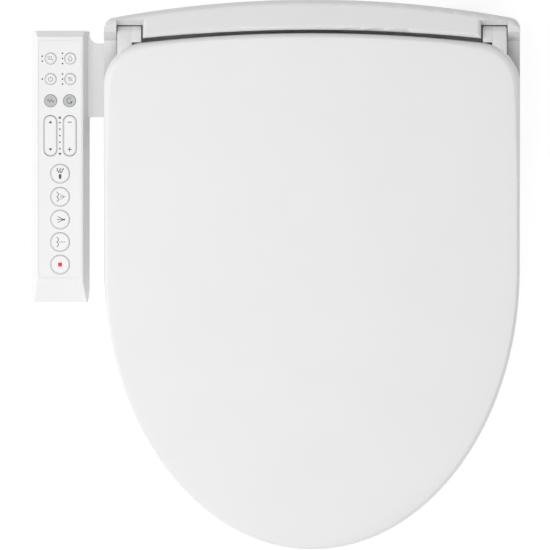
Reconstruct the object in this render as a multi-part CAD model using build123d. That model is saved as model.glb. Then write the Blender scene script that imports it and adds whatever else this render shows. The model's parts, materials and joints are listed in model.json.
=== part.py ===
from build123d import *
import math
import os

# An electric bidet seat for an elongated toilet bowl, in millimetres.
# Origin: on the bowl's rim plane, midway between the two mounting bolts.
# +X is the right of the plan view, +Y points to the back of the toilet and +Z up.

# ---- Driving dimensions -------------------------------------------------------------------------
WALL = 3.0                  # moulded shells
HALF_WIDTH = 197.0          # lid and rear housing
HINGE_Y = 0.0
HINGE_Z = 110.6
BARREL_R = 7.9              # hinge barrels and knuckles
DAMPER_R = 6.3
SHAFT_R = 4.0
RUNNING = 0.08              # radial clearance of a shaft that turns or slides

LID_FRONT_Y = -470.0
NOSE_CENTRE_Y = -205.0      # the lid's front is half an ellipse about this line
LID_REAR_Y = 19.7
LID_REAR_CORNER_Y = 6.3
LID_CORNER_R = 41.0
LID_SKIRT = 23.0
LID_TOP_REAR_Z = 124.0      # over the hinge line
LID_TOP_FRONT_Z = 54.0
CROWN_R = 7000.0            # the lid's top is a shallow part of a ball
LID_EDGE_R = 5.5

HOUSING_REAR_Y = 51.5
HOUSING_REAR_CORNER_Y = 32.8
HOUSING_CORNER_R = 11.0
HOUSING_EDGE_R = 5.5        # rounding of the outer top edge
LIP_R = 4.0                 # rounding of the raised middle's edge beside the lid
HOUSING_FRONT_Y = -72.0
HOUSING_TOP_Z = 124.0
BASE_Z = 8.0
SPLIT_Z = 46.0              # joint line of the housing's two shells
MIDDLE_HALF = 160.0         # half width of the raised middle
POCKET_Z = 70.0             # floor of the hinge pockets
POCKET_REAR_Y = 27.4
EAR_X = 185.0
SCOOP_R = 23.3              # the lid's rear edge sweeps just inside this radius

SEAT_HALF_WIDTH = 192.5
SEAT_FRONT_Y = -465.5
SEAT_REAR_Y = -76.0
SEAT_TOP = (41.0, 94.0)     # heights at the front and the rear
SEAT_UNDER = (12.0, 30.0)
SEAT_JOINT = 11.0           # joint line of the two shells, above the underside
OPENING_HALF = 108.0
OPENING_Y = (-395.0, -114.0)
SEAT_KNUCKLE = (161.5, 169.5)
LID_KNUCKLE = (170.3, 184.3)

PANEL_X = -239.0            # middle of the control panel
PANEL_Z = (26.0, 48.0, 70.0)  # underside, joint line and face
PANEL_Y = (-235.0, 23.0)
PANEL_WALL = 2.5
PANEL_EDGE_R = 1.5
ARM_TOP_Z = 52.0            # top of the bridge between the housing and the panel
FILM = 0.6
KEY_PROUD = 0.6
KEY_GAP = 0.35
BOARD_Z = 56.4

NOZZLE_SLOPE = 14.0         # degrees below the horizontal
NOZZLE_X = 15.0
NOZZLE_R = 6.0
NOZZLE_LENGTH = 106.0
NOZZLE_Z = 19.0             # axis height at the housing's front face
FEED_R = 2.5
RACK_MODULE = 1.0
RACK_TOP = 8.0              # tips of the rack's teeth above the nozzle's axis
PINION_TEETH = 16
PINION_AT = 20.0            # along the slope, back from the front face

BOLT_HALF = 70.0            # half the spacing of the bowl's bolts
SLOT_R = 4.5
SLOT_LENGTH = 30.0
PLATE_HALF = 100.0

os.makedirs("parts", exist_ok=True)


# ---- Small helpers ------------------------------------------------------------------------------
def box(x0, x1, y0, y1, z0, z1):
    return Pos((x0 + x1) / 2, (y0 + y1) / 2, (z0 + z1) / 2) * Box(x1 - x0, y1 - y0, z1 - z0)


def rod_x(x0, x1, y, z, r):
    return Pos((x0 + x1) / 2, y, z) * Rot(0, 90, 0) * Cylinder(r, abs(x1 - x0))


def rod_y(x, y0, y1, z, r):
    return Pos(x, (y0 + y1) / 2, z) * Rot(90, 0, 0) * Cylinder(r, y1 - y0)


def rod_z(x, y, z0, z1, r):
    return Pos(x, y, (z0 + z1) / 2) * Cylinder(r, z1 - z0)


def slab_x(points, x0, x1):
    """A (y, z) polygon carried from x0 to x1."""
    return extrude(Plane.YZ.offset(x0) * make_face(Polyline(*points, close=True)), x1 - x0)


def slab_z(face, z0, z1):
    return extrude(Pos(0, 0, z0) * face, z1 - z0)


def both(shape):
    return [shape, mirror(shape, Plane.YZ)]


def fuse(first, *rest):
    for shape in rest:
        first = first + shape
    return first


def near_hinge(points):
    """Polygon corners given from the hinge line."""
    return [(HINGE_Y + y, HINGE_Z + z) for y, z in points]


def save(name, *shapes):
    """Writes one node; each shape gives one or more separate solids."""
    found = [solid for shape in shapes for solid in shape.solids()]
    export_step(found[0] if len(found) == 1 else Compound(children=found), f"parts/{name}.step")


# ---- Plan outlines ------------------------------------------------------------------------------
def nose_outline(half, front_y, rear_y, bulge, corner_r):
    """Straight sides, half an ellipse in front, and a straight or bowed rear edge."""
    depth = NOSE_CENTRE_Y - front_y
    nose = EllipticalCenterArc((0, NOSE_CENTRE_Y), half, depth, start_angle=180, arc_size=180)
    rear = Line((half, rear_y), (-half, rear_y))
    if bulge:
        rear = ThreePointArc((half, rear_y), (0, rear_y + bulge), (-half, rear_y))
    right = Line((half, NOSE_CENTRE_Y), (half, rear_y))
    left = Line((-half, rear_y), (-half, NOSE_CENTRE_Y))
    face = make_face([nose.edge(), right.edge(), rear.edge(), left.edge()])
    corners = [v for v in face.vertices() if v.Y > rear_y - 1]
    return fillet(corners, corner_r)


def lid_outline(inset=0.0):
    bulge = LID_REAR_Y - LID_REAR_CORNER_Y
    rear_y = LID_REAR_CORNER_Y - inset
    return nose_outline(HALF_WIDTH - inset, LID_FRONT_Y + inset, rear_y, bulge, LID_CORNER_R - inset)


def seat_outline(inset=0.0):
    return nose_outline(SEAT_HALF_WIDTH - inset, SEAT_FRONT_Y + inset, SEAT_REAR_Y - inset, 0, max(14 - inset, 2))


def seat_opening(inset=0.0):
    y0, y1 = OPENING_Y[0] - inset, OPENING_Y[1] + inset
    half = OPENING_HALF + inset
    front = EllipticalCenterArc((0, -235), half, -235 - y0, start_angle=180, arc_size=180)
    back = EllipticalCenterArc((0, -235), half, y1 + 235, start_angle=0, arc_size=180)
    return make_face([front.edge(), back.edge()])


def housing_outline(inset=0.0):
    half, rear_y = HALF_WIDTH - inset, HOUSING_REAR_CORNER_Y - inset
    bulge = HOUSING_REAR_Y - HOUSING_REAR_CORNER_Y
    rear = ThreePointArc((half, rear_y), (0, rear_y + bulge), (-half, rear_y))
    rest = Polyline((-half, rear_y), (-half, -100), (half, -100), (half, rear_y))
    face = make_face([rear.edge(), *rest.edges()])
    corners = [v for v in face.vertices() if v.Y > rear_y - 1]
    return fillet(corners, HOUSING_CORNER_R - inset)


def crown(drop=0.0):
    """The ball whose top is the lid's upper face, lowered by drop."""
    rise, run = LID_TOP_REAR_Z - LID_TOP_FRONT_Z, HINGE_Y - LID_FRONT_Y
    chord = math.hypot(rise, run)
    depth = math.sqrt(CROWN_R**2 - chord**2 / 4)
    y = (HINGE_Y + LID_FRONT_Y) / 2 + depth * rise / chord
    z = (LID_TOP_REAR_Z + LID_TOP_FRONT_Z) / 2 - depth * run / chord
    return Pos(0, y, z) * Sphere(CROWN_R - drop)


def crown_z(x, y, drop=0.0):
    """Height of the lid's upper face, lowered by drop."""
    rise, run = LID_TOP_REAR_Z - LID_TOP_FRONT_Z, HINGE_Y - LID_FRONT_Y
    chord = math.hypot(rise, run)
    depth = math.sqrt(CROWN_R**2 - chord**2 / 4)
    cy = (HINGE_Y + LID_FRONT_Y) / 2 + depth * rise / chord
    cz = (LID_TOP_REAR_Z + LID_TOP_FRONT_Z) / 2 - depth * run / chord
    return cz + math.sqrt((CROWN_R - drop) ** 2 - x * x - (y - cy) ** 2)


def skirt_z(y):
    run = HINGE_Y - LID_FRONT_Y
    return LID_TOP_REAR_Z + (LID_TOP_REAR_Z - LID_TOP_FRONT_Z) * (y - HINGE_Y) / run - LID_SKIRT


def seat_z(pair, y):
    return pair[0] + (pair[1] - pair[0]) * (y - SEAT_FRONT_Y) / (SEAT_REAR_Y - SEAT_FRONT_Y)


# ---- Lid ----------------------------------------------------------------------------------------
def lid_shell():
    outer = slab_z(lid_outline(), 0, 200) & crown()
    outer = fillet(outer.faces().sort_by(Axis.Z)[-1].edges(), LID_EDGE_R)
    shell = outer - (slab_z(lid_outline(WALL), -10, 200) & crown(WALL))
    shell -= slab_x([(-500, -50), (-500, skirt_z(-500)), (-14, skirt_z(-14)), (-14, -50)], -220, 220)
    # Behind the hinge line the rim is only a rolled edge, so that it clears the housing as it turns.
    shell -= box(-220, 220, -14.5, 60, -10, HINGE_Z - 1)
    for barrel in both(rod_x(95, LID_KNUCKLE[0] - 0.1, HINGE_Y, HINGE_Z, BARREL_R + 0.5)):
        shell -= barrel
    tongue = near_hinge([(-34, 5.6), (-34, 1), (-5, -7.8), (8, -8.3), (22, -6.5), (26.5, -4), (26.5, 0)])
    tongue += near_hinge([(22, 4), (6, 8), (-6, 9.0)])
    tail = near_hinge([(11, -3), (11, 7), (22, 4), (26.5, 0), (26.5, -3)])
    arm = slab_x(tongue, *LID_KNUCKLE) + slab_x(tail, SEAT_KNUCKLE[0], LID_KNUCKLE[0] + 1)
    for one in both(arm):
        shell += one
    shell -= rod_x(-LID_KNUCKLE[1] - 5, -LID_KNUCKLE[0] + 1, HINGE_Y, HINGE_Z, SHAFT_R + RUNNING)
    shell -= flatted(LID_KNUCKLE[0] - 1, LID_KNUCKLE[1] + 5, SHAFT_R)
    return shell.solids().sort_by(SortBy.VOLUME)[-1]


def lid_bumpers():
    """Rubber pads that the closed lid rests on."""
    pads = []
    for x, y in ((150, -180), (128, -360)):
        top, rest = crown_z(x, y, WALL), seat_z(SEAT_TOP, y)
        pads += both(rod_z(x, y, rest + 1.0, top + 0.6, 6.0) & crown(WALL))
    return pads


def flatted(x0, x1, r):
    """A damper shaft's keyed end, with two flats."""
    return rod_x(x0, x1, HINGE_Y, HINGE_Z, r) & box(
        min(x0, x1) - 1, max(x0, x1) + 1, HINGE_Y - 3, HINGE_Y + 3, HINGE_Z - r - 1, HINGE_Z + r + 1
    )


def lid_shaft():
    """Right damper's shaft: round through the seat's knuckle, flatted in the lid's."""
    round_part = rod_x(130, LID_KNUCKLE[0], HINGE_Y, HINGE_Z, SHAFT_R - 0.6)
    return round_part + flatted(LID_KNUCKLE[0] - 0.2, LID_KNUCKLE[1], SHAFT_R)


def seat_shaft():
    """Left damper's shaft: flatted in the seat's knuckle, then round in the lid's."""
    inner = rod_x(-SEAT_KNUCKLE[0], -130, HINGE_Y, HINGE_Z, SHAFT_R - 0.6)
    keyed = flatted(-SEAT_KNUCKLE[1], -SEAT_KNUCKLE[0] + 0.2, SHAFT_R)
    outer = rod_x(-LID_KNUCKLE[1], -SEAT_KNUCKLE[1], HINGE_Y, HINGE_Z, SHAFT_R)
    return inner + keyed + outer


# ---- Seat ---------------------------------------------------------------------------------------
def seat_wedge(top_drop, under_rise):
    points = [(y, seat_z(SEAT_TOP, y) - top_drop) for y in (-60, -480)]
    points += [(y, seat_z(SEAT_UNDER, y) + under_rise) for y in (-480, -60)]
    return slab_x(points, -220, 220)


def seat_ring(inset, top_drop, under_rise):
    ring = slab_z(seat_outline(inset), 0, 120) - slab_z(seat_opening(inset), -5, 130)
    return ring & seat_wedge(top_drop, under_rise)


def seat_shells():
    outer = seat_ring(0, 0, 0)
    outer = fillet(outer.faces().sort_by(Axis.Z)[-1].edges(), 9)
    hollow = outer - seat_ring(WALL, WALL, WALL)
    cut = [(y, seat_z(SEAT_UNDER, y) + SEAT_JOINT) for y in (-60, -480)]
    below = slab_x(cut + [(-480, -20), (-60, -20)], -220, 220)
    top, bottom = hollow - below, hollow & below
    profile = near_hinge([(-3, 7.2), (-70, -12), (-79, -18), (-79, -34), (-71.5, -30), (-4, -6.7)])
    arm = slab_x(profile, *SEAT_KNUCKLE) + rod_x(*SEAT_KNUCKLE, HINGE_Y, HINGE_Z, BARREL_R - 0.1)
    right = arm - rod_x(SEAT_KNUCKLE[0] - 1, SEAT_KNUCKLE[1] + 1, HINGE_Y, HINGE_Z, 5.0)
    left = mirror(arm, Plane.YZ) - flatted(-SEAT_KNUCKLE[1] - 1, -SEAT_KNUCKLE[0] + 1, SHAFT_R)
    return fuse(top, right, left), bottom


def seat_bush():
    """Plastic bush in the right knuckle, on which the seat turns round the lid's shaft."""
    x0, x1 = SEAT_KNUCKLE
    ring = rod_x(x0, x1, HINGE_Y, HINGE_Z, 5.0)
    return ring - rod_x(x0 - 1, x1 + 1, HINGE_Y, HINGE_Z, SHAFT_R - 0.6 + RUNNING)


def seat_heater():
    """Foil heater under the seat's top."""
    outline = slab_z(seat_outline(16), 0, 120) - slab_z(seat_opening(16), -5, 130)
    points = [(y, seat_z(SEAT_TOP, y) - WALL) for y in (-60, -480)]
    points += [(y, seat_z(SEAT_TOP, y) - WALL - 0.8) for y in (-480, -60)]
    return outline & slab_x(points, -220, 220)


def seat_bumpers():
    feet = []
    for x, y in ((140, -150), (128, -350)):
        feet += both(rod_z(x, y, 0, seat_z(SEAT_UNDER, y) + 2, 9) - seat_wedge(0, 0))
    return [foot.solids().sort_by(Axis.Z)[0] for foot in feet]


# ---- Rear housing -------------------------------------------------------------------------------
def housing_volume(t):
    """The housing's outside for t = 0, or its hollow for a wall of t."""
    front, floor = HOUSING_FRONT_Y + t, BASE_Z + t
    half = MIDDLE_HALF - t
    low = [(front, floor), (front, 80 - 0.6 * t), (-64 + 0.3 * t, 86 - t)]
    low += [(-12 - 0.6 * t, 106 - 1.6 * t), (-8 - t, 98), (-8 - t, 87 - t), (70, 87 - t), (70, floor)]
    middle = slab_x(low, -half, half)
    end, rise = 10.3 + t, 22.9 + t
    wall = ThreePointArc((-200, end), (0, rise), (200, end))
    rest = Polyline((200, end), (200, 80), (-200, 80), (-200, end))
    rear = slab_z(make_face([wall.edge(), *rest.edges()]), 40, HOUSING_TOP_Z - t)
    middle += rear & box(-half, half, -100, 80, 0, 200)
    scoop = box(-half, half, 0, 30, 70, HINGE_Z - t)
    middle += scoop - rod_x(-200, 200, HINGE_Y, HINGE_Z, SCOOP_R + t)
    pocket = [(front, floor), (front, POCKET_Z - t), (POCKET_REAR_Y + t, POCKET_Z - t)]
    pocket += [(POCKET_REAR_Y + t, 113 - t), (POCKET_REAR_Y + 5 + t, HOUSING_TOP_Z - t)]
    pocket += [(70, HOUSING_TOP_Z - t), (70, floor)]
    middle += slab_x(pocket, -200, 200)
    ear = [(front, floor), (front, 80 - t), (-66 + t / 2, 87 - t), (-34, 94.4 - t), (1 + t, 94.4 - t)]
    ear += [(13 + t, 97.5 - t), (17 + t, 108), (21 + t, 119), (27 + t, HOUSING_TOP_Z - t)]
    ear += [(70, HOUSING_TOP_Z - t), (70, floor)]
    for one in both(slab_x(ear, EAR_X + t, 200)):
        middle += one
    outside = slab_z(housing_outline(t), 0, HOUSING_TOP_Z - t)
    if t:
        return middle & outside
    rim = [e for e in outside.edges() if e.bounding_box().min.Z > HOUSING_TOP_Z - 0.1]
    return fillet(housing_lip(middle), LIP_R) & fillet(rim, HOUSING_EDGE_R)


def housing_lip(middle):
    """Top edges of the raised middle, along the lid and down both of its sides."""
    lip = []
    for edge in middle.edges():
        span = edge.bounding_box()
        curved = edge.geom_type == GeomType.CIRCLE
        side = span.max.X - span.min.X < 0.1 and abs(abs(span.max.X) - MIDDLE_HALF) < 0.1
        if span.min.Z > HOUSING_TOP_Z - 0.1 and span.max.Y < 40 and (curved or side):
            lip.append(edge)
    return lip


SCREWS = ((148, -60), (178, 14), (95, 38))


def screw_points():
    return [(s * x, y) for x, y in SCREWS for s in (-1, 1)]


def nozzle_line(along, x, up=0.0):
    """A point on a nozzle's axis, measured back from the front face, and above it."""
    a = math.radians(NOZZLE_SLOPE)
    y = HOUSING_FRONT_Y + along * math.cos(a) - up * math.sin(a)
    return Pos(x, y, NOZZLE_Z + along * math.sin(a) + up * math.cos(a))


def nozzle_rod(x, start, end, r, up=0.0):
    tilt = Rot(-90 + NOZZLE_SLOPE, 0, 0)
    return nozzle_line((start + end) / 2, x, up) * tilt * Cylinder(r, end - start)


def nozzle_box(x0, x1, start, end, up0, up1):
    mid = nozzle_line((start + end) / 2, (x0 + x1) / 2, (up0 + up1) / 2)
    return mid * Rot(NOZZLE_SLOPE, 0, 0) * Box(x1 - x0, end - start, up1 - up0)


def plate_rail(sign):
    """A hook under the housing that slides over the mounting plate's edge."""
    x0, x1, x2 = PLATE_HALF - 2.5, PLATE_HALF + 13, PLATE_HALF + 19
    rail = box(x1, x2, -48, 40, 2, BASE_Z + 0.5) + box(PLATE_HALF + 4, x1 + 1, -48, 40, 2, 4)
    rail += box(x0, x1, -52, -48.4, 2, BASE_Z + 0.5)
    return rail if sign > 0 else mirror(rail, Plane.YZ)


def housing_shells():
    solid = housing_volume(0)
    hollow = solid - housing_volume(WALL)
    for one in both(rod_x(96, MIDDLE_HALF, HINGE_Y, HINGE_Z, BARREL_R)):
        hollow += one
    web = near_hinge([(-14, -8), (-14, 4), (-5, 4), (-5, -6), (-6, -9), (-9, -12.5)])
    for one in both(slab_x(web, 96, MIDDLE_HALF)):
        hollow += one
    for one in both(rod_x(100, MIDDLE_HALF + 1, HINGE_Y, HINGE_Z, DAMPER_R)):
        hollow -= one
    for x, y in screw_points():
        hollow += rod_z(x, y, BASE_Z, HOUSING_TOP_Z, 5) & solid
    upper = hollow & box(-300, 300, -100, 80, SPLIT_Z, 200)
    lower = hollow & box(-300, 300, -100, 80, 0, SPLIT_Z)
    for x, y in screw_points():
        lower -= rod_z(x, y, 0, 13, 4.5) + rod_z(x, y, 0, 60, 2.3)
        upper -= rod_z(x, y, 0, 60.5, 2.0)
    for x in (-NOZZLE_X, NOZZLE_X):
        lower -= nozzle_rod(x, -12, 12, NOZZLE_R + 1.6)
        lower -= nozzle_box(x - 3.3, x + 3.3, -12, 12, 0, RACK_TOP + 0.8)
    lower -= box(-98, -73, -80, -60, 13, 28)
    # Notch for the water inlet, walled off from the inside.
    lower += box(130, 170, 16, 60, BASE_Z, 45) & slab_z(housing_outline(), 0, 200)
    lower -= box(133, 167, 19, 70, 0, 42)
    lower += rod_y(-140, 34, 41, 26, 10) & slab_z(housing_outline(), 0, 200)
    lower -= rod_y(-140, 20, 60, 26, 6.5)
    lower -= rod_y(150, 10, 30, 24, 7)
    lower += plate_rail(1)
    lower += plate_rail(-1)
    return upper, lower


def housing_screws():
    screws = []
    for x, y in screw_points():
        screws.append(rod_z(x, y, 10.5, 13, 4.0) + rod_z(x, y, 12.5, 58, 2.0))
    return screws


def base_pads():
    """Rubber feet that carry the housing on the bowl."""
    pads = []
    for x, y in ((135, -45), (150, 8)):
        pads += both(rod_z(x, y, 0, BASE_Z, 9))
    return pads


def mounting_plate():
    plate = box(-PLATE_HALF, PLATE_HALF, -48, 32, 1.5, 7.5)
    plate += box(-PLATE_HALF - 12.5, PLATE_HALF + 12.5, -48, 32, 4.4, 7.5)
    for x in (-BOLT_HALF, BOLT_HALF):
        plate -= Pos(x, 0, 4) * extrude(SlotOverall(SLOT_LENGTH, SLOT_R * 2), 10, both=True)
        plate -= Pos(x, 0, 4.5) * extrude(SlotOverall(SLOT_LENGTH + 12, 20), 10)
    return plate


def plate_pads():
    return [box(s * 35 - 25, s * 35 + 25, y - 8, y + 8, 0, 1.5) for s in (-1, 1) for y in (-32, 22)]


# ---- Water and air ------------------------------------------------------------------------------
def rack_tooth_row(x):
    """Rack teeth along the top of a nozzle."""
    pitch = math.pi * RACK_MODULE
    row = nozzle_box(x - 2.5, x + 2.5, 3, NOZZLE_LENGTH - 1, 3, NOZZLE_R)
    count = int((NOZZLE_LENGTH - 8) / pitch)
    first = PINION_AT - pitch * round((PINION_AT - 6) / pitch)
    for i in range(count):
        at = first + i * pitch
        if at < 5 or at > NOZZLE_LENGTH - 3:
            continue
        foot, tip = 0.36 * pitch, 0.10 * pitch
        shape = [(at - foot, NOZZLE_R - 0.1), (at + foot, NOZZLE_R - 0.1)]
        shape += [(at + tip, RACK_TOP), (at - tip, RACK_TOP)]
        face = make_face(Polyline(*shape, close=True))
        frame = Plane(nozzle_line(0, x - 2.5).position, x_dir=slope_back(), z_dir=(1, 0, 0))
        row += extrude(frame * face, 5)
    return row


def slope_back():
    a = math.radians(NOZZLE_SLOPE)
    return (0, math.cos(a), math.sin(a))


def nozzle(x):
    body = nozzle_rod(x, 1.0, NOZZLE_LENGTH, NOZZLE_R) + rack_tooth_row(x)
    body -= nozzle_rod(x, 8, NOZZLE_LENGTH + 1, FEED_R + RUNNING)
    return body


def nozzle_tip(x):
    tip = nozzle_rod(x, -4, 1.0, NOZZLE_R)
    holes = nozzle_rod(x, -2, -0.6, 0.5, up=NOZZLE_R)
    return tip - holes


def pinion(x):
    """A spur gear above the rack, on its motor's shaft."""
    pitch_r = RACK_MODULE * PINION_TEETH / 2
    step = 2 * math.pi / PINION_TEETH
    points = []
    for i in range(PINION_TEETH):
        for turn, r in ((-0.34, pitch_r - 1.25), (-0.22, pitch_r), (-0.10, pitch_r + 0.9)):
            points.append((step * (i + turn), r))
        for turn, r in ((0.10, pitch_r + 0.9), (0.22, pitch_r), (0.34, pitch_r - 1.25)):
            points.append((step * (i + turn), r))
    # A gap between two teeth faces the rack's tooth below.
    down = math.radians(-90) + step / 2
    flat = [(r * math.cos(a + down), r * math.sin(a + down)) for a, r in points]
    centre = nozzle_line(PINION_AT, x - 2.5, NOZZLE_R + 1.15 + pitch_r).position
    frame = Plane(centre, x_dir=slope_back(), z_dir=(1, 0, 0))
    gear = extrude(frame * make_face(Polyline(*flat, close=True)), 5)
    return gear - extrude(frame * Circle(1.5 + 0.05), 12, both=True)


def pinion_axis():
    return nozzle_line(PINION_AT, 0, NOZZLE_R + 1.15 + RACK_MODULE * PINION_TEETH / 2).position


def nozzle_motor(sign):
    p = pinion_axis()
    x = NOZZLE_X * sign
    body = rod_x(x + sign * 3.2, x + sign * 24, p.Y, p.Z, 10)
    return body + rod_x(x - sign * 2.5, x + sign * 4, p.Y, p.Z, 1.5)


def nozzle_cradle():
    """Guides for both nozzles, standing on the housing's floor."""
    block = nozzle_box(-27, 27, 10, 62, -9, 1.5)
    for x in (-NOZZLE_X, NOZZLE_X):
        block -= nozzle_rod(x, 0, 130, NOZZLE_R + RUNNING)
    block += nozzle_box(-27, 27, 108.5, 112, -9, 9)
    for x in (-NOZZLE_X, NOZZLE_X):
        block -= nozzle_rod(x, 100, 130, FEED_R)
    low = block - box(-60, 60, -100, 80, -20, BASE_Z + WALL)
    for y in (-52, -22, 35.5):
        foot = box(-27, 27, y - 2, y + 2, BASE_Z + WALL, NOZZLE_Z + (y - HOUSING_FRONT_Y) * 0.2493 - 7)
        low += foot
    low += box(-3, 3, -54, 38, BASE_Z + WALL, BASE_Z + WALL + 2)
    return low


def feed_pipes():
    """Fixed pipes that the hollow nozzles slide on."""
    pipes = []
    for x in (-NOZZLE_X, NOZZLE_X):
        pipe = nozzle_rod(x, 14, 117, FEED_R)
        pipes.append(pipe - nozzle_rod(x, 10, 125, 1.2))
    return pipes


def water_tank():
    tank = box(46, 122, -56, 12, 16, 60)
    tank = fillet(tank.edges(), 6)
    return tank + box(54, 114, -50, 6, BASE_Z + WALL, 17)


def inlet_valve():
    body = box(136, 164, -26, 8, 14, 40)
    return body + rod_y(150, 6, 19, 24, 6.8) + box(140, 160, -20, 2, BASE_Z + WALL, 15)


def inlet_nipple():
    """The union that the water hose screws on."""
    pipe = rod_y(150, 19, 38, 24, 10.4) + rod_y(150, 19, 22, 24, 12.5)
    return pipe - rod_y(150, 22, 39, 24, 6.5)


def inlet_filter():
    cup = rod_y(150, 23, 36, 24, 6.3)
    return cup - rod_y(150, 24, 37, 24, 5.3)


def diverter_valve():
    body = box(-22, 22, 40.5, 46.5, 12, 54)
    for x in (-NOZZLE_X, NOZZLE_X):
        body -= nozzle_rod(x, 100, 117, FEED_R)
    return body


def tube(points, r):
    """A water hose through the given points."""
    path = FilletPolyline(*points, radius=7)
    start = Plane(path @ 0, z_dir=path % 0)
    return sweep(start * Circle(r), path=path.wire())


def water_tubes():
    """Valve to tank, and tank to diverter."""
    return [
        rod_x(122, 136, -10, 30, 3.5),
        tube([(60, 12, 26), (60, 43.5, 26), (22, 43.5, 26)], 3.0),
    ]


def blower_housing():
    """Scroll of the warm-air drier, with its outlet towards the front."""
    scroll = rod_z(-72, 4, 16, 44, 27) + box(-99, -72, -30, 4, 16, 44)
    scroll -= rod_z(-72, 4, 18, 42, 25)
    scroll -= box(-97, -74, -32, 4, 18, 42)
    scroll -= rod_z(-72, 4, 40, 50, 14)
    return scroll + rod_z(-72, 4, BASE_Z + WALL, 16.5, 12)


def blower_fan():
    fan = rod_z(-72, 4, 20, 21.5, 21) + rod_z(-72, 4, 20, 32, 5)
    for i in range(12):
        blade = Rot(0, 0, i * 30) * box(14, 21, -0.8, 0.8, 21, 38)
        fan += Pos(-72, 4, 0) * blade
    return fan - rod_z(-72, 4, 19, 33, 1.55)


def blower_motor():
    """Motor over the fan, held in the scroll's mouth by three arms."""
    motor = rod_z(-72, 4, 44, 62, 13) + rod_z(-72, 4, 20.5, 45, 1.5)
    return motor + box(-88, -56, 1, 7, 44, 47) + box(-75, -69, -12, 20, 44, 47)


def dryer_duct():
    duct = slab_x([(-30, 16), (-30, 44), (-68.9, 29.5), (-68.9, 12)], -99, -72)
    inner = slab_x([(-29, 18), (-29, 42), (-70, 27.5), (-70, 14)], -97, -74)
    joined = duct - inner
    return joined & box(-120, 0, -69, -30, 0, 60)


def dryer_flap():
    """Flap over the warm-air outlet, hinged along its top edge."""
    flap = box(-97.4, -73.6, -71.5, -70, 14, 25.5)
    return flap + rod_x(-97.4, -73.6, -70.75, 26.0, 1.2)


# ---- Electrics ----------------------------------------------------------------------------------
def main_board():
    board = box(-184, -112, -52, 4, 18, 19.6)
    for x, y in ((-180, -48), (-116, -48), (-180, 0), (-116, 0)):
        board += rod_z(x, y, BASE_Z + WALL, 18.2, 2.5)
    return board


def board_parts():
    chips = [box(-180, -166, -30, -16, 19.6, 24), box(-160, -150, -14, -2, 19.6, 30)]
    return chips + [rod_z(-125, -40 + 14 * i, 19.6, 33, 4) for i in range(3)]


def transformer():
    core = box(-164, -136, -46, -22, 19.6, 42)
    return core + box(-158, -142, -50, -18, 22, 39)


def cord_gland():
    gland = rod_y(-140, 26, 41, 26, 6.5)
    gland += rod_y(-140, 24, 28, 26, 9)
    return gland - rod_y(-140, 20, 50, 26, 3.5)


def hinge_damper(sign):
    body = rod_x(sign * 100, sign * 159.6, HINGE_Y, HINGE_Z, DAMPER_R)
    return body - rod_x(sign * 129.5, sign * 165, HINGE_Y, HINGE_Z, SHAFT_R - 0.6 + RUNNING)


# ---- Control panel ------------------------------------------------------------------------------
def panel_volume(t=0.0):
    low, _, top = PANEL_Z
    cross = [(-28 + t, 46), (-22 + t, top - t), (22 - t, top - t), (28 - t, 46), (26 - t, low + t)]
    cross += [(-26 + t, low + t)]
    face = make_face(Polyline(*cross, close=True))
    y0, y1 = PANEL_Y
    prism = extrude(Plane((PANEL_X, y1 - t, 0), x_dir=(1, 0, 0), z_dir=(0, -1, 0)) * face, y1 - y0 - 2 * t)
    side = [(y1 - t, low + t), (y1 - t, 64), (y1 - 6 - t, top - t), (-215 + t / 2, top - t)]
    side += [(y0 + t, 55 - t / 2), (y0 + t, 50 + t / 2), (-205, 34 + t), (-160, low + t)]
    body = prism & slab_x(side, PANEL_X - 40, PANEL_X + 40)
    return body if t else fillet(body.edges(), PANEL_EDGE_R)


def panel_arm(t=0.0):
    """The bridge from the housing to the panel."""
    return box(-216, -197, -59 + t, 11 - t, 32 + t, ARM_TOP_Z - t)


def panel_shells():
    outer = panel_volume()
    outer = outer + panel_arm()
    corner = box(-214, -202, 10, 20, 34, ARM_TOP_Z) - rod_z(-202, 20, 0, 100, 9.4)
    outer += corner & box(-214, -202.5, 10, 20, 0, 100)
    hollow = outer - panel_volume(PANEL_WALL) - panel_arm(PANEL_WALL)
    hollow -= box(-218, -209, -56.5, 8.5, 34.5, ARM_TOP_Z - PANEL_WALL)
    split = PANEL_Z[1]
    upper = hollow & box(-300, -190, -300, 60, split, 90)
    lower = hollow & box(-300, -190, -300, 60, 0, split)
    upper -= film_outline(0.0, PANEL_Z[2] - FILM, 90)
    for x, y in PANEL_SCREWS:
        lower += (rod_z(x, y, PANEL_Z[0], split, 3.4) & panel_volume()) - rod_z(x, y, 0, 60, 1.3)
        lower -= rod_z(x, y, 0, PANEL_Z[0] + 9, 2.8) + rod_z(x, y, 0, 60, 1.3)
        upper += (rod_z(x, y, split, 68, 3.2) & panel_volume(1.0)) - rod_z(x, y, 0, 60.5, 1.2)
    for x, y in ((-10, -180), (10, -180), (-10, -60), (10, -60), (-10, 4), (10, 4)):
        lower += rod_z(PANEL_X + x, y, PANEL_Z[0] + 2, BOARD_Z, 2)
    return upper, lower


def film_outline(gap, z0, z1):
    """The printed film lies in a shallow recess of the panel's face."""
    face = Pos(PANEL_X, -99) * RectangleRounded(41 - 2 * gap, 225 - 2 * gap, 5)
    return slab_z(face, z0, z1)


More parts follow.
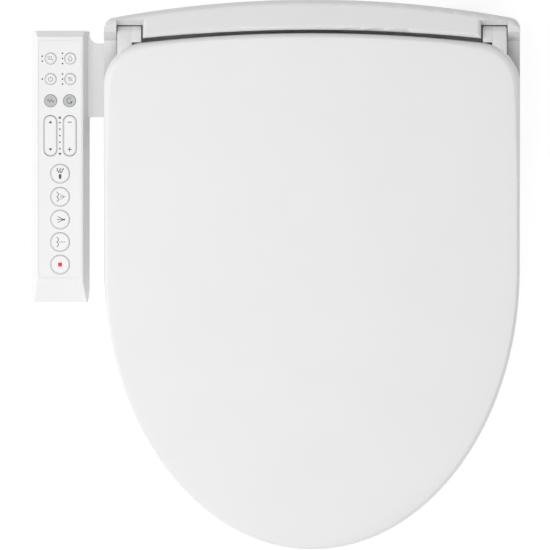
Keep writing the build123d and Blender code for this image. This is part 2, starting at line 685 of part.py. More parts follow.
PANEL_SCREWS = [(PANEL_X + s * 20.6, y) for y in (-185, -90, 12) for s in (-1, 1)]
SMALL_KEYS = {
    "key_seat_heat": (-247.9, -3.6),
    "key_water_heat": (-229.3, -3.6),
    "key_power": (-247.9, -23.1),
    "key_dryer_heat": (-229.3, -23.1),
}
DISC_KEYS = {"key_massage": (-247.9, -43.7), "key_oscillate": (-229.9, -43.7)}
ROUND_KEYS = {
    "key_dry": (-238.9, -112.8),
    "key_turbo": (-238.9, -134.8),
    "key_bidet": (-238.9, -156.4),
    "key_wash": (-238.9, -177.7),
    "key_stop": (-238.9, -199.1),
}
ROCKERS = {"rocker_position": (-248.1, -76.9), "rocker_pressure": (-229.8, -76.9)}
KEY_R = {**dict.fromkeys(SMALL_KEYS, 5.3), **dict.fromkeys(DISC_KEYS, 5.8), **dict.fromkeys(ROUND_KEYS, 9.0)}
KEYS = {**SMALL_KEYS, **DISC_KEYS, **ROUND_KEYS}
ROCKER_SIZE = (11.9, 37.9)
LIGHTS = [(-255.8, -1.5), (-255.8, -6.1), (-255.8, -23.1)]
LIGHTS += [(-236.6, 1.3 - 4.85 * i) for i in range(3)] + [(-236.6, -18.3 - 4.75 * i) for i in range(3)]
LIGHTS += [(-239.1, -64.4 - 6.2 * i) for i in range(5)]


def key(x, y, r):
    top = PANEL_Z[2] + KEY_PROUD
    cap = rod_z(x, y, 64.6, top, r)
    cap = fillet(cap.edges().sort_by(Axis.Z)[-1], 0.5)
    return cap + rod_z(x, y, 64.6, 66.0, r + 0.9) + rod_z(x, y, 60.9, 65, 1.2)


def rocker(x, y):
    width, length = ROCKER_SIZE
    top = PANEL_Z[2] + KEY_PROUD
    cap = Pos(x, y, 64.4) * extrude(Rot(0, 0, 90) * SlotOverall(length, width), top - 64.4)
    flange = Pos(x, y, 64.4) * extrude(Rot(0, 0, 90) * SlotOverall(length + 1.4, width + 1.4), 1.0)
    body = cap + flange
    body += rod_x(x - width / 2 - 1.6, x + width / 2 + 1.6, y, 64.9, 0.8)
    for end in (-13, 13):
        body += rod_z(x, y + end, 61.2, 65, 1.2)
    return body


def key_openings(z0, z1):
    cuts = [rod_z(x, y, z0, z1, KEY_R[name] + KEY_GAP) for name, (x, y) in KEYS.items()]
    width, length = ROCKER_SIZE
    for x, y in ROCKERS.values():
        slot = SlotOverall(length + 4 * KEY_GAP, width + 3 * KEY_GAP)
        cuts.append(Pos(x, y, z0) * extrude(Rot(0, 0, 90) * slot, z1 - z0))
    cuts += [rod_z(x, y, z0, z1, 0.8) for x, y in LIGHTS]
    return cuts


def panel_board():
    board = box(PANEL_X - 16.8, PANEL_X + 16.8, -212, 14, BOARD_Z, BOARD_Z + 1.6)
    for x, y in KEYS.values():
        board += box(x - 3, x + 3, y - 3, y + 3, BOARD_Z + 1.5, 59.7)
    for x, y in ROCKERS.values():
        for end in (-13, 13):
            board += box(x - 3, x + 3, y + end - 3, y + end + 3, BOARD_Z + 1.5, 60.0)
    return board


def panel_lights():
    return [rod_z(x, y, BOARD_Z + 1.6, PANEL_Z[2], 0.8) for x, y in LIGHTS]


def panel_screws():
    screws = []
    for x, y in PANEL_SCREWS:
        screws.append(rod_z(x, y, PANEL_Z[0] + 6.5, PANEL_Z[0] + 9, 2.6) + rod_z(x, y, 34.5, 58, 1.2))
    return screws


# ---- Write every node ---------------------------------------------------------------------------
save("lid_shell", lid_shell())
save("lid_bumpers", *lid_bumpers())
save("lid_damper_shaft", lid_shaft())
seat_upper, seat_lower = seat_shells()
save("seat_top", seat_upper)
save("seat_bottom", seat_lower)
save("seat_heater", seat_heater())
save("seat_bumpers", *seat_bumpers())
save("seat_damper_shaft", seat_shaft())
save("seat_hinge_bush", seat_bush())

cover, base = housing_shells()
save("housing_cover", cover)
save("housing_base", base)
save("housing_screws", *housing_screws())
save("base_pads", *base_pads())
save("mounting_plate", mounting_plate())
save("plate_pads", *plate_pads())
save("hinge_dampers", hinge_damper(-1), hinge_damper(1))

save("wash_nozzle", nozzle(-NOZZLE_X))
save("bidet_nozzle", nozzle(NOZZLE_X))
save("wash_nozzle_tip", nozzle_tip(-NOZZLE_X))
save("bidet_nozzle_tip", nozzle_tip(NOZZLE_X))
save("wash_pinion", pinion(-NOZZLE_X))
save("bidet_pinion", pinion(NOZZLE_X))
save("nozzle_motors", nozzle_motor(-1), nozzle_motor(1))
save("nozzle_cradle", nozzle_cradle())
save("nozzle_feed_pipes", *feed_pipes())
save("water_tank", water_tank())
save("inlet_valve", inlet_valve())
save("inlet_nipple", inlet_nipple())
save("inlet_filter", inlet_filter())
save("diverter_valve", diverter_valve())
save("water_tubes", *water_tubes())
save("blower_housing", blower_housing())
save("blower_fan", blower_fan())
save("blower_motor", blower_motor())
save("dryer_duct", dryer_duct())
save("dryer_flap", dryer_flap())

save("main_circuit_board", main_board())
save("board_components", *board_parts())
save("transformer", transformer())
save("cord_gland", cord_gland())

panel_upper, panel_lower = panel_shells()
film = film_outline(0.15, PANEL_Z[2] - FILM, PANEL_Z[2])
for cut in key_openings(60, 80):
    panel_upper -= cut
    film -= cut
save("panel_cover", panel_upper)
save("panel_base", panel_lower)
save("panel_film", film)
save("panel_circuit_board", panel_board())
save("panel_lights", *panel_lights())
save("panel_screws", *panel_screws())
for name, (x, y) in KEYS.items():
    save(name, key(x, y, KEY_R[name]))
for name, (x, y) in ROCKERS.items():
    save(name, rocker(x, y))
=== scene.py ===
import json
import math

import bmesh
import bpy
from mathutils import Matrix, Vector


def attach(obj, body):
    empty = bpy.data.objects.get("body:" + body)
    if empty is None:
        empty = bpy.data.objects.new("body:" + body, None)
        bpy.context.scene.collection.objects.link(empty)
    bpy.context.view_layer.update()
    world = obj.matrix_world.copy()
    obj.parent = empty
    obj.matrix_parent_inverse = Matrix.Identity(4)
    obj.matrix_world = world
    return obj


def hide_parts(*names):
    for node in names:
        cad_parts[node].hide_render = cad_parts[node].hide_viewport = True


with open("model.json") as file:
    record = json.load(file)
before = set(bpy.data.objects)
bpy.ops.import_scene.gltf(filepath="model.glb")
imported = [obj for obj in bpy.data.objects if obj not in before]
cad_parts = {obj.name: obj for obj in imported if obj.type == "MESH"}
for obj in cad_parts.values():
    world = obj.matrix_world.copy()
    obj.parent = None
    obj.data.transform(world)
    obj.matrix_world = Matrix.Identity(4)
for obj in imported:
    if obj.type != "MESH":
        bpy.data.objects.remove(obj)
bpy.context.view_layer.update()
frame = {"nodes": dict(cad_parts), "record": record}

bl_info = {
    "name": "Electric bidet seat",
    "version": (1, 0, 0),
    "blender": (4, 5, 0),
    "location": "View3D > Sidebar > Bidet seat",
    "description": "Dresses the packed electric bidet seat with its moulded shells, prints and finishes",
    "category": "Object",
}

MM = 0.001

# ---- Driving dimensions, in millimetres, in the frame's axes -------------------------------------
NOSE_CENTRE_Y = -205.0

# Hinge line, and the places of the arms along it on the right side.
HINGE_Z = 110.6
BARREL_R = 7.9
BARREL_GAP = 0.6
BARREL_FROM_X = 95.0
LID_KNUCKLE = (170.3, 184.3)
SEAT_KNUCKLE = (161.5, 169.5)
EYE_BORE_R = 5.0
EYE_R = 7.8
EYE_CHAMFER = 0.5

# Lid.
LID_HALF_WIDTH = 197.0
LID_FRONT_Y = -470.0
LID_REAR_Y = 6.3
LID_REAR_BULGE = 13.4
LID_CORNER_R = 41.0
LID_CORNER_Y = 10.0
LID_TOP_REAR_Z = 124.0
LID_TOP_FRONT_Z = 54.0
LID_SKIRT = 23.0
LID_CENTRE = (0.0, -215.0)
LID_INNER_R = 3.0
LIP_INSET = 1.2
LIP_HEIGHT = 1.3
CROWN_R = 7000.0
CORNER_EXTRA = 3.0  # how much wider the rolled edge is at the rear corners
SIDE_SHRINK = 0.35  # share that the rolled edge loses along the sides
RIM_BLEND = (-34.0, -14.5)  # where the deep skirt turns into the rolled rear edge
RIM_CLEARANCE = 3.6

# Arms in (y, height over the hinge line).
LID_ARM = [
    (-34, 5.6), (-34, 1), (-5, -7.8), (8, -8.3), (22, -6.5), (26.5, -4), (26.5, 0), (22, 4), (6, 8), (-6, 9),
]
LID_LOBE = [(11, -3), (11, 7), (22, 4), (26.5, 0), (26.5, -3)]
SEAT_ARM = [(-3, 7.2), (-70, -12), (-79, -18), (-79, -34), (-71.5, -30), (-4, -6.7)]

# Seat; the pairs are heights at the front and at the rear.
SEAT_HALF_WIDTH = 192.5
SEAT_FRONT_Y = -465.5
SEAT_REAR_Y = -76.0
SEAT_CORNER_R = 14.0
SEAT_TOP = (41.0, 94.0)
SEAT_UNDER = (12.0, 30.0)
SEAT_JOINT = 11.0
SEAT_JOINT_GAP = 0.1
SEAT_OUTER_R = 9.0
SEAT_INNER_R = 11.0
OPENING_CENTRE_Y = -235.0
OPENING_HALF_WIDTH = 108.0
OPENING_REAR_REACH = 121.0
OPENING_FRONT_REACH = 160.0

# Control panel.
KEY_TOP = 70.6
FILM_TOP = 70.0
INK = 0.06  # thickness of a print
SMALL_RING_R = 4.5
LARGE_RING_R = 8.2
THIN_LINE = 0.35
PEN = 0.45
ROUND_KEYS = {
    "key_dry": (-238.9, -112.8),
    "key_turbo": (-238.9, -134.8),
    "key_bidet": (-238.9, -156.4),
    "key_wash": (-238.9, -177.7),
    "key_stop": (-238.9, -199.1),
}
SMALL_KEYS = {
    "key_seat_heat": (-247.9, -3.6),
    "key_water_heat": (-229.3, -3.6),
    "key_power": (-247.9, -23.1),
    "key_dryer_heat": (-229.3, -23.1),
}
DISC_KEYS = {"key_massage": (-247.9, -43.7), "key_oscillate": (-229.9, -43.7)}
ROCKERS = {"position_rocker": (-248.1, -76.9), "pressure_rocker": (-229.8, -76.9)}
ROCKER_HALF_WIDTH = 5.3
ROCKER_HALF_LENGTH = 18.3
ROCKER_SIGN_Y = 12.9
LEVEL_ARROWS = ((-239.1, -59.6, True), (-239.1, -94.2, False))

# How finely the outlines are drawn: points of each side, each corner, the rear edge and the nose.
LID_OUTLINE_STEPS = (26, 28, 56, 150)
SEAT_OUTLINE_STEPS = (20, 22, 44, 120)
BEVEL_ANGLE = 0.35  # radians; only sharper edges of a prism are rounded

# Stage, in metres and watts.
STAGE_CENTRE = (-0.035, -0.209, 0.05)
SOFTBOXES = (
    ("left_softbox", (1.6, 2.4), 16, (-1.9, -0.4, 1.3)),
    ("front_softbox", (2.0, 1.4), 8, (-0.2, -2.0, 1.5)),
    ("top_softbox", (2.6, 2.6), 31, (-0.6, -0.5, 2.4)),
)
WORLD_STRENGTH = 0.46
FLOOR_HALF = 6.0
FLOOR_DROP = 0.0005
FLOOR_GLOW = 0.7
CLIP_END = 60.0
SENSOR_WIDTH = 36.0  # millimetres

WHITE = (1.0, 1.0, 1.0)
SHELL = "white_gloss_plastic"
SIDES = ((-1, "left"), (1, "right"))


# ---- Settings a user would change ----------------------------------------------------------------
class ShellSettings(bpy.types.PropertyGroup):
    """Sizes of the shells"""

    lid_edge: bpy.props.FloatProperty(
        name="Lid edge", description="Radius of the lid's rolled edge", default=0.0055, min=0.002, max=0.008,
        subtype="DISTANCE", unit="LENGTH",
    )
    wall: bpy.props.FloatProperty(
        name="Wall", description="Thickness of the lid's wall", default=0.003, min=0.0015, max=0.005,
        subtype="DISTANCE", unit="LENGTH",
    )
    seat_dish: bpy.props.FloatProperty(
        name="Seat dish", description="Depth of the hollow in the seat's top", default=0.0025, min=0.0,
        max=0.005, subtype="DISTANCE", unit="LENGTH",
    )


class FinishSettings(bpy.types.PropertyGroup):
    """Colours of the plastics and prints"""

    gloss_white: bpy.props.FloatVectorProperty(
        name="Gloss white", description="Lid and seat", subtype="COLOR", default=(0.72, 0.72, 0.722)
    )
    satin_white: bpy.props.FloatVectorProperty(
        name="Satin white", description="Housing and panel", subtype="COLOR", default=(0.78, 0.78, 0.78)
    )
    print_grey: bpy.props.FloatVectorProperty(
        name="Print", description="Printed signs", subtype="COLOR", default=(0.06, 0.06, 0.065)
    )
    ring_grey: bpy.props.FloatVectorProperty(
        name="Ring", description="Printed rings of the keys", subtype="COLOR", default=(0.46, 0.46, 0.47)
    )
    stop_red: bpy.props.FloatVectorProperty(
        name="Stop sign", description="Square of the stop key", subtype="COLOR", default=(0.78, 0.01, 0.03)
    )


class StageSettings(bpy.types.PropertyGroup):
    """The camera's place and view"""

    camera_height: bpy.props.FloatProperty(
        name="Camera height", description="Above the seat", subtype="DISTANCE", unit="LENGTH", default=15.0
    )
    view_width: bpy.props.FloatProperty(
        name="View width", description="Width seen by the camera", subtype="DISTANCE", unit="LENGTH",
        default=0.5225,
    )


# ---- Shader nodes --------------------------------------------------------------------------------
class Wire:
    """An output socket; arithmetic on it adds Math nodes."""

    def __init__(self, shader, socket):
        self.shader, self.socket = shader, socket

    def _math(self, operation, other):
        return self.shader.node("ShaderNodeMath", {"operation": operation}, {0: self, 1: other})

    def __add__(self, other):
        return self._math("ADD", other)

    def __mul__(self, other):
        return self._math("MULTIPLY", other)

    def __lt__(self, other):
        return self._math("LESS_THAN", other)

    __radd__ = __add__
    __rmul__ = __mul__


class Shader:
    """A material with one Principled shader, and the method that adds any other node."""

    def __init__(self, name):
        self.material = bpy.data.materials.new(name)
        self.material.use_nodes = True
        self.tree = self.material.node_tree
        self.surface = self.tree.nodes["Principled BSDF"]

    def node(self, kind, settings, inputs, output=0):
        """A node of any kind: its settings first, then a value or a link for each socket."""
        made = self.tree.nodes.new(kind)
        for key, value in settings.items():
            setattr(made, key, value)
        for key, value in inputs.items():
            self.feed(made.inputs[key], value)
        return Wire(self, made.outputs[output])

    def feed(self, socket, value):
        if isinstance(value, Wire):
            self.tree.links.new(value.socket, socket)
        elif isinstance(value, tuple) and socket.type == "RGBA":
            socket.default_value = (*value, 1.0)
        else:
            socket.default_value = value

    def place(self, stretch=(1, 1, 1)):
        """Object coordinates, stretched."""
        spot = self.node("ShaderNodeTexCoord", {}, {}, "Object")
        return self.node("ShaderNodeMapping", {}, {"Vector": spot, "Scale": stretch})

    def noise(self, scale, detail=2.0, stretch=(1, 1, 1)):
        inputs = {"Vector": self.place(stretch), "Scale": scale, "Detail": detail}
        return self.node("ShaderNodeTexNoise", {}, inputs)

    def mix(self, factor, first, second):
        """A colour between two colours. Sockets 0, 6 and 7 are the factor, A and B of a colour Mix."""
        return self.node("ShaderNodeMix", {"data_type": "RGBA"}, {0: factor, 6: first, 7: second}, 2)

    def bump(self, height, strength, distance=0.0002):
        inputs = {"Height": height, "Strength": strength, "Distance": distance}
        return self.node("ShaderNodeBump", {}, inputs)

    def set(self, **values):
        """Feed the Principled shader's sockets, named with _ for a space, and give the material back."""
        for key, value in values.items():
            self.feed(self.surface.inputs[key.replace("_", " ")], value)
        return self.material


def shade(colour, factor):
    """The colour made darker or lighter."""
    return tuple(min(1.0, channel * factor) for channel in colour)


def moulded(name, colour, roughness, grain, coat=0.0, grain_scale=2600.0):
    """Moulded plastic: a faint cloudiness, a fine grain and slightly uneven gloss."""
    s = Shader(name)
    cloud, fine = s.noise(14.0, 3.0), s.noise(grain_scale, 2.0)
    base = s.mix(cloud, shade(colour, 0.975), shade(colour, 1.02))
    gloss = roughness - 0.04 + 0.08 * s.noise(60.0, 4.0)
    return s.set(
        Base_Color=base, Roughness=gloss, Normal=s.bump(fine, grain), IOR=1.49, Coat_Weight=coat,
        Coat_Roughness=0.08,
    )


def rubber(name, colour):
    """Soft rubber or silicone: matt, with a little dust in its grain."""
    s = Shader(name)
    dust, grain = s.noise(40.0, 5.0), s.noise(900.0, 3.0)
    base = s.mix(dust, shade(colour, 0.8), shade(colour, 1.15))
    return s.set(Base_Color=base, Roughness=0.72 + 0.15 * dust, Normal=s.bump(grain, 0.25))


def brushed(name, colour, roughness):
    """Metal with fine lines along X."""
    s = Shader(name)
    lines = s.noise(220.0, 4.0, (1, 60, 60))
    base = s.mix(lines, shade(colour, 0.82), shade(colour, 1.1))
    return s.set(
        Base_Color=base, Metallic=1.0, Roughness=roughness - 0.08 + 0.16 * lines, Normal=s.bump(lines, 0.08)
    )


def circuit(name, colour):
    """Solder mask over copper tracks."""
    s = Shader(name)
    inputs = {"Vector": s.place(), "Scale": 260.0}
    cells = s.node("ShaderNodeTexVoronoi", {"distance": "CHEBYCHEV"}, inputs)
    track = cells < 0.28
    base = s.mix(track, colour, shade(colour, 2.1))
    return s.set(Base_Color=base, Roughness=0.35 + 0.1 * s.noise(80.0), Normal=s.bump(track, 0.2))


def wound(name, colour):
    """Enamelled wire in close turns."""
    s = Shader(name)
    inputs = {"Vector": s.place(), "Scale": 420.0}
    turns = s.node("ShaderNodeTexWave", {"bands_direction": "Z"}, inputs, 1)
    base = s.mix(turns, shade(colour, 0.55), colour)
    return s.set(Base_Color=base, Metallic=0.8, Roughness=0.4, Normal=s.bump(turns, 0.6))


def foil(name, colour):
    """Creased metal foil."""
    s = Shader(name)
    creases = s.noise(120.0, 6.0)
    base = s.mix(creases, shade(colour, 0.75), colour)
    return s.set(Base_Color=base, Metallic=1.0, Roughness=0.28 + 0.2 * creases, Normal=s.bump(creases, 0.5))


def inked(name, colour):
    """Screen-printed ink: slightly uneven edges of tone and a soft sheen."""
    s = Shader(name)
    speckle = s.noise(1500.0, 2.0)
    base = s.mix(speckle, shade(colour, 0.9), shade(colour, 1.12))
    return s.set(Base_Color=base, Roughness=0.5 + 0.1 * speckle, Normal=s.bump(speckle, 0.04))


MATERIALS = {}
HOUSING_PAINTED_SHADE = 0.87  # painted shade: the housing is the panel's white plastic made darker, for the shade that falls on it


def make_finishes(look):
    """Every finish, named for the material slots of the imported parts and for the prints."""
    white, satin = tuple(look.gloss_white), tuple(look.satin_white)
    MATERIALS.update(
        white_gloss_plastic=moulded("lid_and_seat_white", white, 0.30, 0.02, 0.35),
        white_satin_plastic=moulded("panel_white", satin, 0.42, 0.05, 0.1),
        # Painted shade: the housing's darker copy of the panel's satin white.
        housing_white=moulded("housing_white", shade(satin, HOUSING_PAINTED_SHADE), 0.42, 0.05, 0.1),
        grey_plastic=moulded("grey_plastic", (0.23, 0.24, 0.25), 0.5, 0.12),
        key_white=moulded("key_white", shade(satin, 1.03), 0.45, 0.04),
        key_grey=moulded("key_grey", (0.46, 0.47, 0.48), 0.45, 0.04),
        film=moulded("panel_film_white", shade(satin, 1.02), 0.5, 0.06, 0.0, 1800.0),
        rubber_white=rubber("bumper_rubber", (0.6, 0.6, 0.58)),
        rubber_grey=rubber("foot_rubber", (0.11, 0.11, 0.115)),
        steel=brushed("stainless_steel", (0.60, 0.60, 0.61), 0.32),
        brass=brushed("brass", (0.70, 0.52, 0.24), 0.3),
        board_green=circuit("circuit_board_green", (0.02, 0.15, 0.06)),
        dark_plastic=moulded("black_plastic", (0.025, 0.025, 0.028), 0.45, 0.1),
        heater_foil=foil("heater_foil", (0.75, 0.75, 0.76)),
        copper=wound("copper_winding", (0.62, 0.28, 0.14)),
        clear_tube=rubber("silicone_tube", (0.62, 0.66, 0.68)),
        light_guide=moulded("light_guide", (0.03, 0.035, 0.04), 0.2, 0.02, 0.6),
        print=inked("sign_print", tuple(look.print_grey)),
        ring=inked("ring_print", tuple(look.ring_grey)),
        red=inked("stop_print", tuple(look.stop_red)),
    )


def dress_frame():
    """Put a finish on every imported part."""
    slots = {row["node"]: row["material_slot"] for row in frame["record"]["subparts"]}
    # The housing's parts take the darker copy of the satin white, which paints shade on them.
    slots.update(housing_cover="housing_white", housing_base="housing_white")
    for node, obj in frame["nodes"].items():
        obj.data.materials.clear()
        obj.data.materials.append(MATERIALS[slots[node]])


# ---- Mesh helpers --------------------------------------------------------------------------------
def new_piece(name, vertices, faces):
    """An object from vertices in millimetres, with doubled vertices joined."""
    mesh = bpy.data.meshes.new(name)
    mesh.from_pydata([(x * MM, y * MM, z * MM) for x, y, z in vertices], [], faces)
    mesh.update()
    made = bmesh.new()
    made.from_mesh(mesh)
    bmesh.ops.remove_doubles(made, verts=made.verts, dist=1e-7)
    bmesh.ops.recalc_face_normals(made, faces=made.faces)
    made.to_mesh(mesh)
    made.free()
    piece = bpy.data.objects.new(name, mesh)
    bpy.context.collection.objects.link(piece)
    return piece


def dress(piece, body, material, replaces=(), smooth=True, sharp=None):
    """Give a piece its material, its shading and its place on a body. sharp is an angle in degrees."""
    piece.data.materials.clear()
    piece.data.materials.append(MATERIALS[material])
    for polygon in piece.data.polygons:
        polygon.use_smooth = smooth
    if sharp is not None:
        piece.data.set_sharp_from_angle(angle=math.radians(sharp))
    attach(piece, body)
    if replaces:
        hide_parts(*replaces)


def strip_faces(loops, count, start=0):
    """Quads between neighbouring closed loops of count points, where loop k starts at start + k * count."""
    faces = []
    for first in range(start, start + (loops - 1) * count, count):
        for i in range(count):
            j = (i + 1) % count
            faces.append((first + i, first + j, first + count + j, first + count + i))
    return faces


def capped(loops, tip, start=0):
    """Vertices and faces of a skin through the loops, closed by a fan to its tip."""
    count = len(loops[0])
    last = start + (len(loops) - 1) * count
    vertices = [point for loop in loops for point in loop] + [tip]
    fan = [(last + i, last + (i + 1) % count, last + count) for i in range(count)]
    return vertices, strip_faces(len(loops), count, start) + fan


def tube(loops):
    """Vertices and faces of a closed skin, whose last loop joins its first."""
    loops = [*loops, loops[0]]
    return [point for loop in loops for point in loop], strip_faces(len(loops), len(loops[0]))


def bevelled_prism(name, points, xs, body, radius):
    """A prism of (y, z) corners carried between two x places, with rounded edges."""
    n = len(points)
    vertices = [(x, y, z) for x in xs for y, z in points]
    faces = [tuple(range(n)), tuple(range(2 * n - 1, n - 1, -1))]
    faces += [(i, i + n, (i + 1) % n + n, (i + 1) % n) for i in range(n)]
    piece = new_piece(name, vertices, faces)
    bevel = piece.modifiers.new("rounded", "BEVEL")
    bevel.width, bevel.segments = radius * MM, 3
    bevel.limit_method, bevel.angle_limit = "ANGLE", BEVEL_ANGLE
    depsgraph = bpy.context.evaluated_depsgraph_get()
    mesh = bpy.data.meshes.new_from_object(piece.evaluated_get(depsgraph))
    piece.modifiers.clear()
    piece.data = mesh
    dress(piece, body, SHELL, sharp=35)


# ---- Outlines and heights ------------------------------------------------------------------------
def blend(first, second, share):
    return first * (1 - share) + second * share


def smooth_step(low, high, value):
    t = min(max((value - low) / (high - low), 0.0), 1.0)
    return t * t * (3 - 2 * t)


def quarter(steps):
    """Angles from 0 to a right angle."""
    return [math.pi / 2 * k / steps for k in range(steps + 1)]


def full_turn(steps):
    return [2 * math.pi * i / steps for i in range(steps)]


def nose_outline(half, front_y, rear_y, bulge, corner_r, inset, steps):
    """Points round a lid or seat, anticlockwise from the right side, with the same count for every inset.

    steps counts the points of each side, each corner, the rear edge and the nose.
    """
    half, front, rear_y = half - inset, front_y + inset, rear_y - inset
    corner_r = max(corner_r - inset, 0.5)
    if bulge:
        arc_r = (half * half + bulge * bulge) / (2 * bulge)
        arc_y = rear_y + bulge - arc_r
        fx = half - corner_r
        fy = arc_y + math.sqrt((arc_r - corner_r) ** 2 - fx * fx)
        turn = math.atan2(fy - arc_y, fx)
    else:
        fx, fy, turn = half - corner_r, rear_y - corner_r, math.pi / 2
    sides, corners, rears, noses = steps
    points = []
    for i in range(sides):
        points.append((half, blend(NOSE_CENTRE_Y, fy, i / sides)))
    for i in range(corners):
        a = turn * i / corners
        points.append((fx + corner_r * math.cos(a), fy + corner_r * math.sin(a)))
    for i in range(rears):
        if bulge:
            a = turn + (math.pi - 2 * turn) * i / rears
            points.append((arc_r * math.cos(a), arc_y + arc_r * math.sin(a)))
        else:
            points.append((fx - 2 * fx * i / rears, rear_y))
    for i in range(corners):
        a = math.pi - turn + turn * i / corners
        points.append((-fx + corner_r * math.cos(a), fy + corner_r * math.sin(a)))
    for i in range(sides):
        points.append((-half, blend(fy, NOSE_CENTRE_Y, i / sides)))
    for i in range(noses):
        a = math.pi + math.pi * i / noses
        points.append((half * math.cos(a), NOSE_CENTRE_Y + (NOSE_CENTRE_Y - front) * math.sin(a)))
    return points


def lid_outline(inset=0.0):
    return nose_outline(
        LID_HALF_WIDTH, LID_FRONT_Y, LID_REAR_Y, LID_REAR_BULGE, LID_CORNER_R, inset, LID_OUTLINE_STEPS
    )


def seat_outline(inset=0.0):
    return nose_outline(
        SEAT_HALF_WIDTH, SEAT_FRONT_Y, SEAT_REAR_Y, 0.0, SEAT_CORNER_R, inset, SEAT_OUTLINE_STEPS
    )


def opening_point(angle, inset):
    """Point on the seat's opening, which is a longer half ellipse to the front."""
    half = OPENING_HALF_WIDTH + inset
    reach = (OPENING_REAR_REACH if math.sin(angle) > 0 else OPENING_FRONT_REACH) + inset
    return half * math.cos(angle), OPENING_CENTRE_Y + reach * math.sin(angle)


def moved_in(outline, widths):
    """The outline with each point moved inwards by its own width."""
    moved, n = [], len(outline)
    for i, (x, y) in enumerate(outline):
        (ax, ay), (bx, by) = outline[i - 1], outline[(i + 1) % n]
        dx, dy = bx - ax, by - ay
        size = math.hypot(dx, dy)
        moved.append((x - dy / size * widths[i], y + dx / size * widths[i]))
    return moved


def shrunk(outline, share):
    """The outline drawn in towards the middle of the lid."""
    cx, cy = LID_CENTRE
    return [(cx + (x - cx) * share, cy + (y - cy) * share) for x, y in outline]


def edge_width(x, y, r):
    """The rolled edge is widest at the rear corners and narrow along the sides."""
    corner = math.hypot(abs(x) - LID_HALF_WIDTH, y - LID_CORNER_Y)
    side = smooth_step(-60.0, -120.0, y)
    return r * (1.0 - SIDE_SHRINK * side) + CORNER_EXTRA * (1 - smooth_step(20.0, 75.0, corner))


def crown_z(x, y, drop=0.0):
    """Height of the lid's upper face, lowered by drop: a sphere through its front and rear heights."""
    rise, run = LID_TOP_REAR_Z - LID_TOP_FRONT_Z, -LID_FRONT_Y
    chord = math.hypot(rise, run)
    depth = math.sqrt(CROWN_R**2 - chord**2 / 4)
    cy = LID_FRONT_Y / 2 + depth * rise / chord
    cz = (LID_TOP_REAR_Z + LID_TOP_FRONT_Z) / 2 - depth * run / chord
    return cz + math.sqrt((CROWN_R - drop) ** 2 - x * x - (y - cy) ** 2)


def rim_z(x, y):
    """Bottom of the lid's rim: deep in front of the hinge line, a rolled edge behind it."""
    skirt = LID_TOP_REAR_Z + (LID_TOP_REAR_Z - LID_TOP_FRONT_Z) * y / -LID_FRONT_Y - LID_SKIRT
    z = blend(skirt, HINGE_Z - 1, smooth_step(*RIM_BLEND, y))
    reach = BARREL_R + BARREL_GAP
    if abs(x) > BARREL_FROM_X and abs(y) < reach:
        z = max(z, HINGE_Z + math.sqrt(reach * reach - y * y))
    return min(z, crown_z(x, y, RIM_CLEARANCE))


def rim_loops(offsets):
    """Loops along the lid's rim, each an inset with a lift."""
    return [[(x, y, rim_z(x, y) + lift) for x, y in lid_outline(inset)] for inset, lift in offsets]


def seat_z(pair, y):
    return pair[0] + (pair[1] - pair[0]) * (y - SEAT_FRONT_Y) / (SEAT_REAR_Y - SEAT_FRONT_Y)


def joint_z(y):
    """Where the seat's two shells meet."""
    return seat_z(SEAT_UNDER, y) + SEAT_JOINT


# ---- Lid -----------------------------------------------------------------------------------------
def build_lid(sizes):
    """The domed shell: its outer wall, rolled edge and top, then the same on the inside."""
    r, wall = sizes.lid_edge / MM, sizes.wall / MM
    outline = lid_outline()
    widths = [edge_width(x, y, r) for x, y in outline]
    outer = rim_loops(((LIP_INSET, 0.0), (0.5, 0.15), (0.12, 0.6), (0.0, LIP_HEIGHT)))
    for k in range(1, 6):
        outer.append([(x, y, blend(rim_z(x, y) + LIP_HEIGHT, crown_z(x, y) - r, k / 6)) for x, y in outline])
    for a in quarter(12):
        ring = moved_in(outline, [width * (1 - math.cos(a)) for width in widths])
        drop = r * (1 - math.sin(a))
        outer.append([(x, y, max(crown_z(x, y) - drop, rim_z(x, y) + 0.4)) for x, y in ring])
    top = moved_in(outline, widths)
    for k in range(1, 30):
        outer.append([(x, y, crown_z(x, y)) for x, y in shrunk(top, 1 - (k / 30) ** 0.85)])
    vertices, faces = capped(outer, (*LID_CENTRE, crown_z(*LID_CENTRE)))

    inner = rim_loops(((LIP_INSET, 0.0), (wall - 0.7, 0.1), (wall - 0.15, 0.6), (wall, LIP_HEIGHT + 0.1)))
    for a in quarter(8):
        ring = lid_outline(wall + LID_INNER_R * (1 - math.cos(a)))
        drop = LID_INNER_R * (1 - math.sin(a))
        inner.append([(x, y, max(crown_z(x, y, wall) - drop, rim_z(x, y) + 0.5)) for x, y in ring])
    ceiling = lid_outline(wall + LID_INNER_R)
    for k in range(1, 16):
        inner.append([(x, y, crown_z(x, y, wall)) for x, y in shrunk(ceiling, 1 - k / 16)])
    inside = capped(inner, (*LID_CENTRE, crown_z(*LID_CENTRE, wall)), len(vertices))
    piece = new_piece("lid", vertices + inside[0], faces + inside[1])
    dress(piece, "lid", SHELL, ["lid_shell"])


def build_lid_arms():
    """The two hinge arms under the lid's rear corners, with the lobes that fill the pockets."""
    for sign, side in SIDES:
        for name, profile, span, radius in (
            ("arm", LID_ARM, LID_KNUCKLE, 1.2),
            ("lobe", LID_LOBE, (SEAT_KNUCKLE[0], LID_KNUCKLE[0] + 0.6), 0.6),
        ):
            points = [(y, HINGE_Z + z) for y, z in profile]
            bevelled_prism(f"lid_{name}_{side}", points, [sign * x for x in span], "lid", radius)


